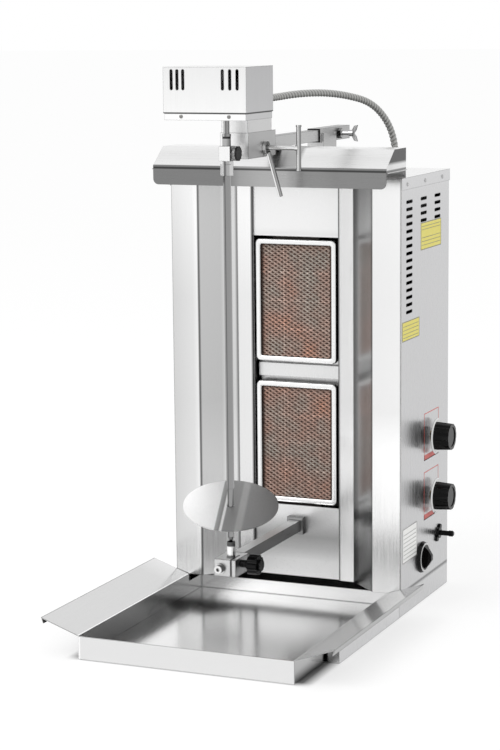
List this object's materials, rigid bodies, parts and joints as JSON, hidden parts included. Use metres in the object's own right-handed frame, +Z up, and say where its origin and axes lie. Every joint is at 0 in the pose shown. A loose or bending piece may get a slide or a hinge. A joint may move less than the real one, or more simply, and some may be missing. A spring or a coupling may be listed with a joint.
{
  "type": "gas vertical rotisserie grill",
  "caption": "Countertop gas grill with a motor-turned upright skewer, radiant burners behind mesh, side controls, a hood and a drip tray that draws out to the front.",
  "frame": {"origin": "bottom centre of the whole, on the surface it stands on", "axes": "+X to the control side, +Y to the back, +Z up"},
  "size_m": [0.474, 0.663, 0.877],
  "materials": {
    "brushed_stainless": "brushed stainless steel",
    "polished_stainless": "mirror-polished stainless steel",
    "heat_tinted_mesh": "heat-tinted stainless steel",
    "aluminised_steel": "aluminised sheet steel",
    "ceramic": "porous ceramic, matt",
    "motor_grey": "cast aluminium gear case",
    "chromed_steel": "bright chrome plating",
    "steel_shaft": "turned steel",
    "black_plastic": "black phenolic plastic",
    "brass": "machined brass",
    "steel_pipe": "galvanised steel pipe",
    "aluminium_pipe": "drawn aluminium tube",
    "ribbed_metal_hose": "galvanised strip-wound hose"
  },
  "bodies": {
    "cabinet": {"base_frame": "brushed_stainless", "right_rail": "brushed_stainless", "left_rail": "brushed_stainless", "left_front_panel": "polished_stainless", "right_front_panel": "polished_stainless", "centre_panel": "polished_stainless", "burner_divider": "polished_stainless", "upper_burner_screen": "heat_tinted_mesh", "lower_burner_screen": "heat_tinted_mesh", "upper_burner_box": "aluminised_steel", "lower_burner_box": "aluminised_steel", "ceramic_tiles": "ceramic", "right_side_panel": "polished_stainless", "left_side_panel": "polished_stainless", "back_panel": "brushed_stainless", "top_cover": "polished_stainless", "hood": "polished_stainless", "arm_sleeve": "brushed_stainless", "sleeve_stand": "brushed_stainless", "arm_collar": "brushed_stainless", "gas_taps": "brass", "gas_manifold": "steel_pipe", "gas_inlet": "brass", "injectors": "brass", "feed_pipes": "aluminium_pipe", "switch_body": "black_plastic", "igniter_body": "black_plastic", "top_gland": "chromed_steel", "case_screws": "chromed_steel", "conduit": "ribbed_metal_hose"},
    "tray": {"drip_tray": "polished_stainless"},
    "upper_support": {"upper_arm": "polished_stainless", "neck": "brushed_stainless", "saddle": "brushed_stainless", "head_pan": "brushed_stainless", "head_cover": "brushed_stainless", "gear_motor": "motor_grey", "head_gland": "chromed_steel", "head_screws": "chromed_steel"},
    "spit": {"spindle_shaft": "steel_shaft", "skewer_socket": "brushed_stainless", "skewer": "polished_stainless", "meat_disc": "polished_stainless"},
    "socket_screw": {"thumb_screw": "chromed_steel"},
    "head_clamp": {"clamp_screw": "chromed_steel"},
    "lever": {"lock_lever": "chromed_steel"},
    "sleeve_bolt": {"wing_bolt": "chromed_steel"},
    "lower_support": {"lower_arm": "polished_stainless", "lower_block": "brushed_stainless", "pivot_cup": "steel_shaft", "block_screw": "chromed_steel"},
    "block_clamp": {"clamp_knob": "black_plastic"},
    "upper_plug": {"upper_tap_plug": "brass"},
    "upper_control": {"upper_knob": "black_plastic", "upper_tap_stem": "chromed_steel"},
    "lower_plug": {"lower_tap_plug": "brass"},
    "lower_control": {"lower_knob": "black_plastic", "lower_tap_stem": "chromed_steel"},
    "dial": {"switch_dial": "black_plastic"},
    "button": {"igniter_button": "black_plastic"}
  },
  "joints": [
    {"name": "tray_slide", "type": "slide", "parent": "cabinet", "child": "tray", "axis": [0, -1, 0], "range_m": [0, 0.25]},
    {"name": "upper_arm_slide", "type": "slide", "parent": "cabinet", "child": "upper_support", "axis": [0, -1, 0], "range_m": [0, 0.08], "deforming": ["conduit"]},
    {"name": "lower_arm_slide", "type": "slide", "parent": "cabinet", "child": "lower_support", "axis": [0, -1, 0], "range_m": [0, 0.08]},
    {"name": "skewer_spin", "type": "hinge", "parent": "upper_support", "child": "spit", "pos_m": [0, -0.1565, 0.7], "axis": [0, 0, 1], "continuous": true},
    {"name": "thumb_screw_turn", "type": "hinge", "parent": "spit", "child": "socket_screw", "pos_m": [0.016, -0.1565, 0.748], "axis": [1, 0, 0], "continuous": true},
    {"name": "clamp_screw_turn", "type": "hinge", "parent": "upper_support", "child": "head_clamp", "pos_m": [0.04, -0.0665, 0.752], "axis": [1, 0, 0], "continuous": true},
    {"name": "lock_lever_turn", "type": "hinge", "parent": "upper_support", "child": "lever", "pos_m": [0.026, -0.0665, 0.752], "axis": [1, 0, 0], "range_deg": [-75, 0]},
    {"name": "wing_bolt_turn", "type": "hinge", "parent": "cabinet", "child": "sleeve_bolt", "pos_m": [0.034, 0.2805, 0.756], "axis": [1, 0, 0], "continuous": true},
    {"name": "clamp_knob_turn", "type": "hinge", "parent": "lower_support", "child": "block_clamp", "pos_m": [0.04, -0.1565, 0.124], "axis": [1, 0, 0], "continuous": true},
    {"name": "upper_tap_turn", "type": "hinge", "parent": "cabinet", "child": "upper_plug", "pos_m": [0.17, 0.2145, 0.268], "axis": [1, 0, 0], "range_deg": [0, 180]},
    {"name": "upper_tap_press", "type": "slide", "parent": "upper_plug", "child": "upper_control", "axis": [-1, 0, 0], "range_m": [0, 0.004], "stiffness_N_per_m": 800, "springref_m": -0.002},
    {"name": "lower_tap_turn", "type": "hinge", "parent": "cabinet", "child": "lower_plug", "pos_m": [0.17, 0.2145, 0.168], "axis": [1, 0, 0], "range_deg": [0, 180]},
    {"name": "lower_tap_press", "type": "slide", "parent": "lower_plug", "child": "lower_control", "axis": [-1, 0, 0], "range_m": [0, 0.004], "stiffness_N_per_m": 800, "springref_m": -0.002},
    {"name": "motor_switch_turn", "type": "hinge", "parent": "cabinet", "child": "dial", "pos_m": [0.2, 0.1695, 0.074], "axis": [1, 0, 0], "range_deg": [-90, 0]},
    {"name": "igniter_press", "type": "slide", "parent": "cabinet", "child": "button", "axis": [-1, 0, 0], "range_m": [0, 0.006], "stiffness_N_per_m": 600, "springref_m": -0.002}
  ],
  "couplings": [
    {"joint": "lower_arm_slide", "follows": "upper_arm_slide", "ratio": 1}
  ]
}
